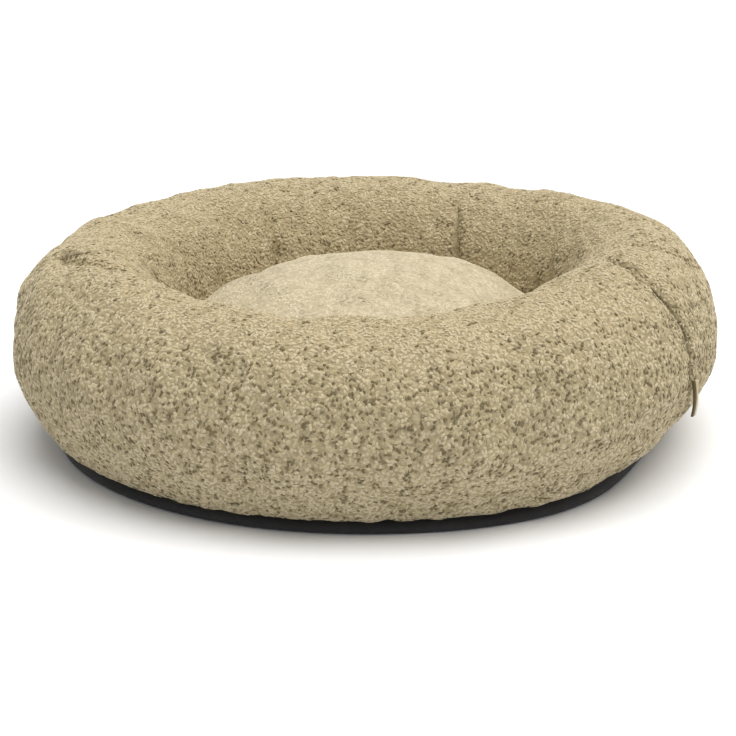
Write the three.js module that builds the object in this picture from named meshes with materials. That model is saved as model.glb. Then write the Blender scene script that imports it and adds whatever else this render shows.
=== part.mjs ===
// Plush dog bed: a filled ring bolster closed by one cross seam, a domed seat cushion that
// fills its well, a dark cloth sole that turns up under the bolster, and a small folded tab.
// Millimetres, +Z up, -Y towards the viewer. The origin is on the floor, under the middle of
// the bed's own box.
import * as THREE from 'three';

// Sizes of the bed
const TUBE_CENTRE_RADIUS = 310;
const TUBE_HALF_WIDTH = 90;
const BULGE_HEIGHT = 116;
const TUBE_RISE = 109;
const SEAM_RADIUS = 337;
const SEAM_HEIGHT = 12;
const INNER_FOOT_RADIUS = 275;
const CLOTH_OVERLAP = 3;
const UPPER_ROUNDNESS = 1.97;
const OUTER_LOWER_ROUNDNESS = 1.65;
const INNER_LOWER_ROUNDNESS = 2.2;

// Sizes of the sole, whose edge swells out between the floor and the seam under the bolster
const FOOT_RADIUS = 345;
const SWELL_RADIUS = 351;
const SWELL_HEIGHT = 4.5;
const SOLE_THICKNESS = 2.5;
const RIM_WIDTH = 5.3;
const CLEARANCE = 0.3;

// Sizes of the seat cushion
const CUSHION_GAP = 1.4;
const CUSHION_EDGE_HEIGHT = 114;
const CUSHION_CROWN_HEIGHT = 198;
const CUSHION_FOOT_RADIUS = 190;
const CUSHION_DOME_POWER = 1.6;
const CUSHION_LOWER_ROUNDNESS = 2.6;
const CUSHION_UNEVENNESS = 16;
const CUSHION_WAVES = [
  { waves: 2, share: 1, start: 0.8 },
  { waves: 3, share: 0.7, start: -Math.PI / 2 },
];

// The side tab. Each corner has a turn in degrees from the cross seam, a height on the
// bolster's side, and how far it stands off the cloth. The middle bows out a little more.
const TAB_THICKNESS = 2;
const TAB_BOW = 2.5;
const TAB_CORNERS = {
  lowRoot: { turn: 0, height: 76, standOff: 4 },
  lowEdge: { turn: 1.3, height: 76, standOff: 5 },
  highRoot: { turn: -0.4, height: 114, standOff: 1.4 },
  highEdge: { turn: 0.9, height: 114, standOff: 5 },
};

// How the ring wanders from a true circle and a level top: waves round the ring, and the
// share of the radius or of the height that each one adds along cosine and sine
const RADIUS_WAVES = [
  { waves: 2, cosine: 0.0035, sine: 0.01 },
  { waves: 3, cosine: -0.0045, sine: 0.0005 },
  { waves: 4, cosine: -0.0075, sine: 0.0085 },
  { waves: 5, cosine: -0.007, sine: 0 },
];
const HEIGHT_WAVES = [
  { waves: 1, cosine: 0.009, sine: 0.0025 },
  { waves: 2, cosine: 0.019, sine: -0.0135 },
  { waves: 3, cosine: 0.0015, sine: -0.017 },
];

// Folds and swells of the bolster: where each one starts and ends, as a place round the
// ring and a place round the tube's section (from its outermost line over the top) in
// degrees, then its half width and its depth in mm, where a negative depth swells
const FOLDS = [
  { name: 'cross seam', ring: [-33, -33], tube: [-10, 235], width: 7, depth: 7 },
  { name: 'swell before the seam', ring: [-41, -43], tube: [10, 110], width: 34, depth: -4 },
  { name: 'swell behind the seam', ring: [-24, -22], tube: [40, 120], width: 28, depth: -2.5 },
  { name: 'crease behind the seam', ring: [-16, -7], tube: [98, 55], width: 11, depth: 6 },
  { name: 'left crease', ring: [189, 216], tube: [72, 108], width: 12, depth: 7 },
  { name: 'swell under the left crease', ring: [205, 225], tube: [78, 84], width: 30, depth: -4 },
  { name: 'left far fold', ring: [120, 121], tube: [135, 175], width: 13, depth: 4.5 },
  { name: 'far fold', ring: [96, 96], tube: [145, 180], width: 13, depth: 4 },
  { name: 'right far fold', ring: [66, 61], tube: [120, 175], width: 13, depth: 5 },
];
const CROSS_SEAM = FOLDS[0];

// The cross seam leans along the ring, in degrees, from a place over the top of the section
// to a place on its outer side, and the cloth beside it leans with it
const SEAM_LEAN = { turn: 2.4, from: 82, to: 25, reach: 12 };

// On the right of the front, the seam between bolster and sole is drawn up and in under the
// bolster. Inside the inner radius and above the top height nothing moves.
const DRAWN_SEAM = { ring: -26, reach: 23, rise: 4.5, inward: 24, inner: 240, outer: 330, top: 68 };

// Fineness of the meshes
const RING_STEP_DEGREES = 5;
const CUSHION_STEP_DEGREES = 7.5;
const LEAST_STEP_DEGREES = 1.6;
const FOLD_STEPS = 3;
const FOLD_STEP_SHARE = 0.8;
const QUARTER_STEPS = 6;
const FLAT_STEPS = 2;
const CUSHION_RISE_STEPS = 9;
const CUSHION_SIDE_STEPS = 5;
const TAB_STEPS = 6;

const radians = THREE.MathUtils.degToRad;
const degrees = THREE.MathUtils.radToDeg;
const lerp = THREE.MathUtils.lerp;

/** The share of its plain size that the ring has at an angle, from a table of waves. */
function wander(waves, angle) {
  const share = ({ waves: n, cosine, sine }) => cosine * Math.cos(n * angle) + sine * Math.sin(n * angle);
  return 1 + waves.reduce((sum, wave) => sum + share(wave), 0);
}

/** A quarter of a rounded box: goes from (1, 0) to (0, 1) as part goes from 0 to 1. */
function roundedQuarter(part, roundness) {
  const turn = (part * Math.PI) / 2;
  const power = 2 / roundness;
  return { along: part === 1 ? 0 : Math.cos(turn) ** power, up: Math.sin(turn) ** power };
}

/** Even steps from 0 to 1, without the first where the last point already stands there. */
function steps(count, start = 1) {
  return Array.from({ length: count + 1 - start }, (_, i) => (i + start) / count);
}

/** The tube's plain section as a closed outline of points at (radius, height). */
function tubeOutline() {
  const outermost = TUBE_CENTRE_RADIUS + TUBE_HALF_WIDTH;
  const lip = { radius: SEAM_RADIUS + CLOTH_OVERLAP, height: SEAM_HEIGHT + CLEARANCE };
  const floor = SOLE_THICKNESS + CLEARANCE;
  const foot = FOOT_RADIUS - CLEARANCE - CLOTH_OVERLAP;
  const points = steps(FLAT_STEPS, 0).map((part) => ({
    radius: lerp(INNER_FOOT_RADIUS, foot, part),
    height: floor,
  }));
  points.push({ radius: foot, height: SWELL_HEIGHT });
  points.push({ radius: SEAM_RADIUS - RIM_WIDTH - 3 * CLEARANCE, height: lip.height }, lip);
  for (const part of steps(QUARTER_STEPS)) {
    const { along, up } = roundedQuarter(1 - part, OUTER_LOWER_ROUNDNESS);
    points.push({
      radius: lerp(lip.radius, outermost, along),
      height: lerp(BULGE_HEIGHT, lip.height, up),
    });
  }
  for (const part of steps(QUARTER_STEPS)) {
    const { along, up } = roundedQuarter(part, UPPER_ROUNDNESS);
    points.push({
      radius: TUBE_CENTRE_RADIUS + TUBE_HALF_WIDTH * along,
      height: BULGE_HEIGHT + TUBE_RISE * up,
    });
  }
  for (const part of steps(QUARTER_STEPS)) {
    const { along, up } = roundedQuarter(1 - part, UPPER_ROUNDNESS);
    points.push({
      radius: TUBE_CENTRE_RADIUS - TUBE_HALF_WIDTH * along,
      height: BULGE_HEIGHT + TUBE_RISE * up,
    });
  }
  const innermost = TUBE_CENTRE_RADIUS - TUBE_HALF_WIDTH;
  for (const part of steps(QUARTER_STEPS).slice(0, -1)) {
    const { along, up } = roundedQuarter(part, INNER_LOWER_ROUNDNESS);
    points.push({
      radius: lerp(INNER_FOOT_RADIUS, innermost, along),
      height: lerp(BULGE_HEIGHT, floor, up),
    });
  }
  return points;
}

/** The smallest turn between two angles in degrees, from -180 to 180. */
function turnBetween(a, b) {
  return THREE.MathUtils.euclideanModulo(a - b + 180, 360) - 180;
}

/** The distance in mm, along the cloth, from a place on the tube to the line of a fold. */
function distanceToFold(fold, angle, around) {
  const ringScale = radians(TUBE_CENTRE_RADIUS);
  const tubeScale = radians(TUBE_HALF_WIDTH);
  const across = turnBetween(degrees(angle), fold.ring[0]) * ringScale;
  const along = (around - fold.tube[0]) * tubeScale;
  const lineAcross = (fold.ring[1] - fold.ring[0]) * ringScale;
  const lineAlong = (fold.tube[1] - fold.tube[0]) * tubeScale;
  const share = (across * lineAcross + along * lineAlong) / (lineAcross ** 2 + lineAlong ** 2);
  const nearest = THREE.MathUtils.clamp(share, 0, 1);
  return Math.hypot(across - nearest * lineAcross, along - nearest * lineAlong);
}

/** How far the folds draw the cloth in, at an angle and a place round the section. */
function foldDepth(angle, around) {
  const bell = (fold) => Math.exp(-((distanceToFold(fold, angle, around) / fold.width) ** 2));
  return FOLDS.reduce((sum, fold) => sum + fold.depth * bell(fold), 0);
}

/** A bell, 1 in the middle, over the turn in degrees from an angle to a place round the ring. */
function ringBell(angle, ring, reach) {
  return Math.exp(-((turnBetween(degrees(angle), ring) / reach) ** 2));
}

/** How far round the leaning cross seam draws the cloth at a place round the section. */
function seamLean(angle, around) {
  const { turn, from, to, reach } = SEAM_LEAN;
  const share = 1 - THREE.MathUtils.smoothstep(around, to, from);
  return radians(turn * share) * ringBell(angle, CROSS_SEAM.ring[0], reach);
}

/** How far the drawn seam moves a point of the plain section, in from the side and up. */
function seamDraw(angle, plain) {
  const { ring, reach, rise, inward, inner, outer, top } = DRAWN_SEAM;
  const floor = SOLE_THICKNESS + CLEARANCE;
  const bell = ringBell(angle, ring, reach);
  const low = 1 - THREE.MathUtils.smoothstep(plain.height, SEAM_HEIGHT, top);
  const below = THREE.MathUtils.clamp((plain.height - floor) / (SEAM_HEIGHT - floor), 0, 1);
  const rim = THREE.MathUtils.smoothstep(plain.radius, inner, outer);
  return { inward: inward * rim * low * bell, upward: rise * below * low * bell };
}

/** A point of the bolster's cloth: a point of the plain section, carried to an angle. */
function bolsterPoint(angle, plain, lift = 0) {
  const raised = Math.max(plain.height - SEAM_HEIGHT - CLEARANCE, 0);
  const height = plain.height + raised * (wander(HEIGHT_WAVES, angle) - 1);
  const out = plain.radius - TUBE_CENTRE_RADIUS;
  const up = height - BULGE_HEIGHT;
  const around = THREE.MathUtils.euclideanModulo(degrees(Math.atan2(up, out)) + 90, 360) - 90;
  const free = THREE.MathUtils.smoothstep(plain.height, SEAM_HEIGHT + CLEARANCE, 4 * SEAM_HEIGHT);
  const reach = Math.hypot(out, up);
  const shrink = 1 + (lift - free * foldDepth(angle, around)) / reach;
  const leaned = angle + free * seamLean(angle, around);
  const draw = seamDraw(leaned, plain);
  const radius = (TUBE_CENTRE_RADIUS + out * shrink - draw.inward) * wander(RADIUS_WAVES, leaned);
  return new THREE.Vector3(
    radius * Math.cos(leaned),
    radius * Math.sin(leaned),
    BULGE_HEIGHT + up * shrink + draw.upward,
  );
}

/** Even angles round a full circle, in degrees. */
function evenDegrees(step) {
  return steps(Math.round(360 / step)).map((part) => part * 360);
}

/** The angles of the ring's sections: even steps, with finer ones across the steep folds. */
function ringAngles() {
  const steep = FOLDS.filter(({ depth, ring }) => depth > 0 && Math.abs(ring[1] - ring[0]) < 15);
  const fine = steep.flatMap(({ ring, width }) => {
    const step = degrees(width / TUBE_CENTRE_RADIUS) * FOLD_STEP_SHARE;
    const middle = (ring[0] + ring[1]) / 2;
    return steps(2 * FOLD_STEPS, 0).map((part) => middle + (2 * part - 1) * FOLD_STEPS * step);
  });
  const clear = (angle) => fine.every((other) => Math.abs(turnBetween(angle, other)) > LEAST_STEP_DEGREES);
  const chosen = [...fine, ...evenDegrees(RING_STEP_DEGREES).filter(clear)];
  const turned = chosen.map((angle) => THREE.MathUtils.euclideanModulo(angle, 360));
  return turned.sort((a, b) => a - b).map(radians);
}

/** A mesh geometry from points and triangles, turned to face outwards. */
function solidGeometry(points, triangles) {
  const volume = triangles.reduce((sum, [a, b, c]) => {
    const area = new THREE.Vector3().crossVectors(points[b], points[c]);
    return sum + points[a].dot(area);
  }, 0);
  const facing = volume > 0 ? triangles : triangles.map(([a, b, c]) => [a, c, b]);
  const geometry = new THREE.BufferGeometry();
  const numbers = points.flatMap((point) => point.toArray());
  geometry.setAttribute('position', new THREE.Float32BufferAttribute(numbers, 3));
  geometry.setIndex(facing.flat());
  geometry.computeVertexNormals();
  return geometry;
}

/** A closed ring: an outline that closes on itself, carried round all the angles. */
function ringGeometry(angles, outline, place) {
  const count = outline.length;
  const points = angles.flatMap((angle) => outline.map((plain) => place(angle, plain)));
  const triangles = [];
  for (let i = 0; i < angles.length; i += 1) {
    const next = (i + 1) % angles.length;
    for (let j = 0; j < count; j += 1) {
      const over = (j + 1) % count;
      const [a, b, c, d] = [i * count + j, next * count + j, next * count + over, i * count + over];
      triangles.push([a, b, c], [a, c, d]);
    }
  }
  return solidGeometry(points, triangles);
}

/** A closed turned form: an outline whose two ends lie on the axis, as single points. */
function turnedGeometry(angles, outline, place) {
  const middle = outline.slice(1, -1);
  const count = middle.length;
  const points = angles.flatMap((angle) => middle.map((plain) => place(angle, plain)));
  const first = points.length;
  points.push(place(0, outline[0]), place(0, outline.at(-1)));
  const triangles = [];
  for (let i = 0; i < angles.length; i += 1) {
    const next = (i + 1) % angles.length;
    triangles.push([first, next * count, i * count]);
    triangles.push([first + 1, i * count + count - 1, next * count + count - 1]);
    for (let j = 0; j + 1 < count; j += 1) {
      const [a, b] = [i * count + j, next * count + j];
      triangles.push([a, b, b + 1], [a, b + 1, a + 1]);
    }
  }
  return solidGeometry(points, triangles);
}

/** The cushion's section from the crown, over its edge and drawn-in side, to its foot. */
function cushionOutline() {
  const edge = TUBE_CENTRE_RADIUS - TUBE_HALF_WIDTH - CUSHION_GAP;
  const floor = SOLE_THICKNESS + CLEARANCE;
  const rise = CUSHION_CROWN_HEIGHT - CUSHION_EDGE_HEIGHT;
  const points = steps(CUSHION_RISE_STEPS, 0).map((part) => {
    const turn = (part * Math.PI) / 2;
    const up = part === 1 ? 0 : Math.cos(turn) ** CUSHION_DOME_POWER;
    return { radius: edge * Math.sin(turn), height: CUSHION_EDGE_HEIGHT + rise * up };
  });
  for (const part of steps(CUSHION_SIDE_STEPS)) {
    const { along, up } = roundedQuarter(part, CUSHION_LOWER_ROUNDNESS);
    points.push({
      radius: lerp(CUSHION_FOOT_RADIUS, edge, along),
      height: lerp(CUSHION_EDGE_HEIGHT, floor, up),
    });
  }
  points.push({ radius: 0, height: floor });
  return points;
}

/** A point of the cushion: its plan follows the well, and its crown is a little uneven. */
function cushionPoint(angle, plain) {
  const radius = plain.radius * wander(RADIUS_WAVES, angle);
  const share = plain.radius / (TUBE_CENTRE_RADIUS - TUBE_HALF_WIDTH);
  const crown = plain.height > CUSHION_EDGE_HEIGHT ? share ** 2 * (1 - share) : 0;
  const uneven = ({ waves, share: part, start }) => part * Math.cos(waves * angle + start);
  const rise = CUSHION_UNEVENNESS * crown * CUSHION_WAVES.reduce((sum, wave) => sum + uneven(wave), 0);
  return new THREE.Vector3(radius * Math.cos(angle), radius * Math.sin(angle), plain.height + rise);
}

/** The sole's section: a flat bottom, a swelling edge drawn in to the seam, and the inside. */
function soleOutline() {
  return [
    { radius: 0, height: 0 },
    { radius: FOOT_RADIUS / 2, height: 0 },
    { radius: FOOT_RADIUS, height: 0 },
    { radius: SWELL_RADIUS, height: SWELL_HEIGHT },
    { radius: SEAM_RADIUS, height: SEAM_HEIGHT },
    { radius: SEAM_RADIUS - RIM_WIDTH, height: SEAM_HEIGHT },
    { radius: FOOT_RADIUS, height: SWELL_HEIGHT },
    { radius: FOOT_RADIUS - CLOTH_OVERLAP, height: SOLE_THICKNESS },
    { radius: FOOT_RADIUS / 2, height: SOLE_THICKNESS },
    { radius: 0, height: SOLE_THICKNESS },
  ];
}

/** A point of the sole, which follows the ring's plan and the drawn seam. */
function solePoint(angle, plain) {
  const draw = seamDraw(angle, plain);
  const radius = (plain.radius - draw.inward) * wander(RADIUS_WAVES, angle);
  const height = plain.height + draw.upward;
  return new THREE.Vector3(radius * Math.cos(angle), radius * Math.sin(angle), height);
}

/** A point of the outer side of the tube's plain section, at a height over the floor. */
function outerSideAt(height) {
  const outermost = TUBE_CENTRE_RADIUS + TUBE_HALF_WIDTH;
  const below = height < BULGE_HEIGHT;
  const roundness = below ? OUTER_LOWER_ROUNDNESS : UPPER_ROUNDNESS;
  const rise = below ? SEAM_HEIGHT + CLEARANCE - BULGE_HEIGHT : TUBE_RISE;
  const root = below ? SEAM_RADIUS + CLOTH_OVERLAP : TUBE_CENTRE_RADIUS;
  const up = (height - BULGE_HEIGHT) / rise;
  const along = (1 - up ** roundness) ** (1 / roundness);
  return { radius: lerp(root, outermost, along), height };
}

/** A corner of the tab, lifted off the cloth by a little more than it stands off anyway. */
function tabCorner({ turn, height, standOff }, lift) {
  return bolsterPoint(radians(CROSS_SEAM.ring[0] + turn), outerSideAt(height), standOff + lift);
}

/** A point of the tab, at a part of its width out from the seam and a part of its length up. */
function tabPoint(out, upwards, lift) {
  const { lowRoot, lowEdge, highRoot, highEdge } = TAB_CORNERS;
  const bowed = lift + TAB_BOW * 4 * upwards * (1 - upwards);
  const low = tabCorner(lowRoot, bowed).lerp(tabCorner(lowEdge, bowed), out);
  const high = tabCorner(highRoot, bowed).lerp(tabCorner(highEdge, bowed), out);
  return low.lerp(high, upwards);
}

/** The tab: a flat folded tape whose root lies in the cross seam, laid back on the cloth. */
function tabGeometry() {
  const rows = steps(TAB_STEPS, 0);
  const under = steps(TAB_STEPS, 0).map((out) => ({ out, lift: 0 }));
  const over = under.map(({ out }) => ({ out, lift: TAB_THICKNESS })).reverse();
  const outline = [...under, ...over];
  const count = outline.length;
  const points = rows.flatMap((row) => outline.map(({ out, lift }) => tabPoint(out, row, lift)));
  const triangles = [];
  for (let i = 0; i + 1 < rows.length; i += 1) {
    for (let j = 0; j < count; j += 1) {
      const over = (j + 1) % count;
      const [a, b, c, d] = [i * count + j, (i + 1) * count + j, (i + 1) * count + over, i * count + over];
      triangles.push([a, b, c], [a, c, d]);
    }
  }
  const top = (rows.length - 1) * count;
  for (let j = 0; j < TAB_STEPS; j += 1) {
    const back = count - 1 - j;
    triangles.push([j, j + 1, back], [j + 1, back - 1, back]);
    triangles.push([top + j, top + back, top + j + 1], [top + j + 1, top + back, top + back - 1]);
  }
  return solidGeometry(points, triangles);
}

/** A named piece of the bed in its own plain cloth colour. */
function piece(name, geometry, color, roughness) {
  const material = new THREE.MeshStandardMaterial({ color, roughness, metalness: 0 });
  const mesh = new THREE.Mesh(geometry, material);
  mesh.name = name;
  return mesh;
}

/** Moves the whole bed so that the middle of its box stands over the origin. */
function centre(bed) {
  const middle = new THREE.Box3().setFromObject(bed).getCenter(new THREE.Vector3());
  bed.position.set(-middle.x, -middle.y, 0);
  return bed;
}

const angles = ringAngles();
const cushionAngles = evenDegrees(CUSHION_STEP_DEGREES).map(radians);
const bed = new THREE.Group();
bed.add(
  piece('bolster', ringGeometry(angles, tubeOutline(), bolsterPoint), '#b9a981', 0.95),
  piece('seat_cushion', turnedGeometry(cushionAngles, cushionOutline(), cushionPoint), '#dccfae', 0.95),
  piece('sole', turnedGeometry(angles, soleOutline(), solePoint), '#161616', 0.8),
  piece('side_tab', tabGeometry(), '#6b5a35', 0.6),
);

export default centre(bed);
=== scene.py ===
"""Looks of a plush dog bed: looped-pile cloth over a filled ring bolster and a domed cushion.

Lengths are metres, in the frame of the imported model: +Z up, with the viewer on the -Y side. Each skin
is a net of points worked out from the bed's plan, swelled by a cloth simulation, and then covered with
short curls of yarn. The sole is a dark woven dish, and a folded tab sits in the ring's cross seam.
"""

from __future__ import annotations

import logging
import math
from collections.abc import Mapping
from dataclasses import dataclass, field, replace
from enum import Enum
from typing import Any

import bpy
import numpy as np
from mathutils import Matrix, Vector


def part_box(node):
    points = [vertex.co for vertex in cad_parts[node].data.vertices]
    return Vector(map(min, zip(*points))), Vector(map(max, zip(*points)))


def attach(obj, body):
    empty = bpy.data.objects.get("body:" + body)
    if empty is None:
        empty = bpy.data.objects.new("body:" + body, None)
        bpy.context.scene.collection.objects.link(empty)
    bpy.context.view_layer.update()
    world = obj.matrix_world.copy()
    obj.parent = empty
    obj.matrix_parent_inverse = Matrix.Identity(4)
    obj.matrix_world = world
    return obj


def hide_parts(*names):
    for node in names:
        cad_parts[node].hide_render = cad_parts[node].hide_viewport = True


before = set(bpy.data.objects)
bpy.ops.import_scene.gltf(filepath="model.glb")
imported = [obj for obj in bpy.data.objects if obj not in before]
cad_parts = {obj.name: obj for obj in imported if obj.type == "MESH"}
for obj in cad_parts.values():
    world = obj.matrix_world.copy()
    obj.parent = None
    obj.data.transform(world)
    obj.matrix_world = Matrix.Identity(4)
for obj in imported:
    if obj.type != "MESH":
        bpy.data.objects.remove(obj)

LOG = logging.getLogger("plush_dog_bed")
MM = 0.001
FULL_TURN = 2 * math.pi
BODY = "root"
BAKE_MAP = "OFBake"
TONE = "tone"

Colour = tuple[float, float, float]


def smooth_step(values: np.ndarray, low: float, high: float) -> np.ndarray:
    """A soft step from 0 at low to 1 at high: 3 t squared less 2 t cubed, with t held from 0 to 1.

    Args:
        values: where the step is read.
        low: the value up to which the step is 0.
        high: the value from which the step is 1.

    Returns:
        The step's height at each value.
    """
    t = np.clip((values - low) / (high - low), 0, 1)
    return t * t * (3 - 2 * t)


def unit(vectors: np.ndarray) -> np.ndarray:
    """The vectors at length one."""
    return vectors / np.maximum(np.linalg.norm(vectors, axis=-1, keepdims=True), 1e-12)


def rgba(colour: Colour) -> tuple[float, float, float, float]:
    """A colour with full alpha."""
    return (*colour, 1.0)


def clouds(points: np.ndarray, wavelength: float, seed: int, waves: int = 22) -> np.ndarray:
    """Soft random lumps: a sum of plane sine waves that run in random directions through space.

    Each wave has a length of 0.7 to 1.5 times the given one and a random phase, and the sum is divided
    by the square root of half their number, so that it is about -1 to 1 over most of the surface.

    Args:
        points: places in space, with their three coordinates on the last axis.
        wavelength: the usual distance from one lump to the next.
        seed: the seed of the random draws.
        waves: how many waves are added.

    Returns:
        The height of the lumps at each place, without unit.
    """
    rng = np.random.default_rng(seed)
    heading = unit(rng.normal(size=(waves, 3)))
    pace = FULL_TURN / (wavelength * rng.uniform(0.7, 1.5, waves))
    phase = rng.uniform(0, FULL_TURN, waves)
    return np.sin(points @ (heading * pace[:, None]).T + phase).sum(-1) / math.sqrt(waves / 2)


@dataclass(frozen=True)
class Wave:
    """One wave of the ring's wander: how many go round, and its shares along cosine and sine."""

    count: int
    cosine: float
    sine: float


@dataclass(frozen=True)
class Fold:
    """A fold of the bolster's cloth, or with a negative depth a swell, along a line on the tube.

    Ring angles and tube angles are in degrees, the tube's from its outermost line over the top.
    """

    ring: tuple[float, float]
    tube: tuple[float, float]
    width: float
    depth: float


@dataclass(frozen=True)
class SeamLean:
    """How the cross seam leans along the ring, with the cloth beside it.

    All are in degrees: the turn by which it leans, the places round the tube's section where the
    lean starts and is full, and how far round the ring the cloth follows.
    """

    turn: float = 2.4
    start: float = 82
    full: float = 25
    reach: float = 12


@dataclass(frozen=True)
class DrawnSeam:
    """Where the seam over the sole is drawn up and in under the bolster.

    The place and reach round the ring are in degrees. Inside the inner radius and above the top
    height nothing moves.
    """

    ring: float = -26
    reach: float = 23
    rise: float = 4.5 * MM
    inward: float = 24 * MM
    inner: float = 240 * MM
    outer: float = 330 * MM
    top: float = 68 * MM


@dataclass(frozen=True)
class BedPlan:
    """The driving sizes that the pieces share, and how the ring wanders from a true circle."""

    tube_centre_radius: float = 310 * MM
    tube_half_width: float = 90 * MM
    bulge_height: float = 116 * MM
    tube_rise: float = 109 * MM
    seam_radius: float = 337 * MM
    seam_height: float = 12 * MM
    inner_foot_radius: float = 275 * MM
    cloth_overlap: float = 3 * MM
    foot_radius: float = 345 * MM
    swell_radius: float = 351 * MM
    swell_height: float = 4.5 * MM
    sole_thickness: float = 2.5 * MM
    rim_width: float = 5.3 * MM
    clearance: float = 0.3 * MM
    pile_depth: float = 1.8 * MM
    cross_seam_ring: float = -33
    seam_lean: SeamLean = SeamLean()
    drawn_seam: DrawnSeam = DrawnSeam()
    radius_waves: tuple[Wave, ...] = (
        Wave(2, 0.0035, 0.01),
        Wave(3, -0.0045, 0.0005),
        Wave(4, -0.0075, 0.0085),
        Wave(5, -0.007, 0),
    )
    height_waves: tuple[Wave, ...] = (
        Wave(1, 0.009, 0.0025),
        Wave(2, 0.019, -0.0135),
        Wave(3, 0.0015, -0.017),
    )

    @property
    def floor(self) -> float:
        """The height over the ground of what rests inside the sole."""
        return self.sole_thickness + self.clearance

    @property
    def lip_height(self) -> float:
        """The height of the bolster cloth's lower edge."""
        return self.seam_height + self.clearance

    @staticmethod
    def wander(waves: tuple[Wave, ...], angle: np.ndarray) -> np.ndarray:
        """One plus the sum of the waves, each its shares times the cosine and sine of its turns."""
        parts = (w.cosine * np.cos(w.count * angle) + w.sine * np.sin(w.count * angle) for w in waves)
        return 1 + sum(parts)

    @staticmethod
    def bell(angle: np.ndarray, ring: float, reach: float) -> np.ndarray:
        """A bell, 1 in the middle, over the turn in degrees from an angle to a place round the ring."""
        away = np.mod(np.degrees(angle) - ring + 180, 360) - 180
        return np.exp(-((away / reach) ** 2))

    def lean(self, angle: np.ndarray, around: np.ndarray) -> np.ndarray:
        """How far round, in radians, the leaning cross seam draws the cloth.

        Args:
            angle: angles round the ring, in radians.
            around: places round the tube's section, in degrees from its outermost line over the top.

        Returns:
            The full turn times a soft step down the outer side times the bell round the seam.
        """
        seam = self.seam_lean
        share = 1 - smooth_step(around, seam.full, seam.start)
        return math.radians(seam.turn) * share * self.bell(angle, self.cross_seam_ring, seam.reach)

    def draw(
        self, angle: np.ndarray, radius: np.ndarray, height: np.ndarray
    ) -> tuple[np.ndarray, np.ndarray]:
        """How far the drawn seam moves the cloth.

        The way in is full up to the seam and fades softly above it. The rise grows evenly from the
        floor to the seam and then fades in the same way.

        Args:
            angle: angles round the ring, in radians.
            radius: radii of the plain section.
            height: heights of the plain section.

        Returns:
            The movement towards the bed's axis, and the rise.
        """
        seam = self.drawn_seam
        bell = self.bell(angle, seam.ring, seam.reach)
        low = 1 - smooth_step(height, self.seam_height, seam.top)
        below = np.clip((height - self.floor) / (self.seam_height - self.floor), 0, 1)
        rim = smooth_step(radius, seam.inner, seam.outer)
        return seam.inward * rim * low * bell, seam.rise * below * low * bell

    @staticmethod
    def rounded_quarter(part: np.ndarray, roundness: float) -> tuple[np.ndarray, np.ndarray]:
        """A quarter of a rounded box, from (1, 0) to (0, 1) as part goes from 0 to 1.

        Along and up are the cosine and sine of a quarter turn, each to the power 2 over roundness.

        Args:
            part: how far along the quarter, from 0 to 1.
            roundness: 2 for a circle, and more for a squarer form.

        Returns:
            The shares along and up.
        """
        turn = part * math.pi / 2
        power = 2 / roundness
        return np.abs(np.cos(turn)) ** power, np.abs(np.sin(turn)) ** power


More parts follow.
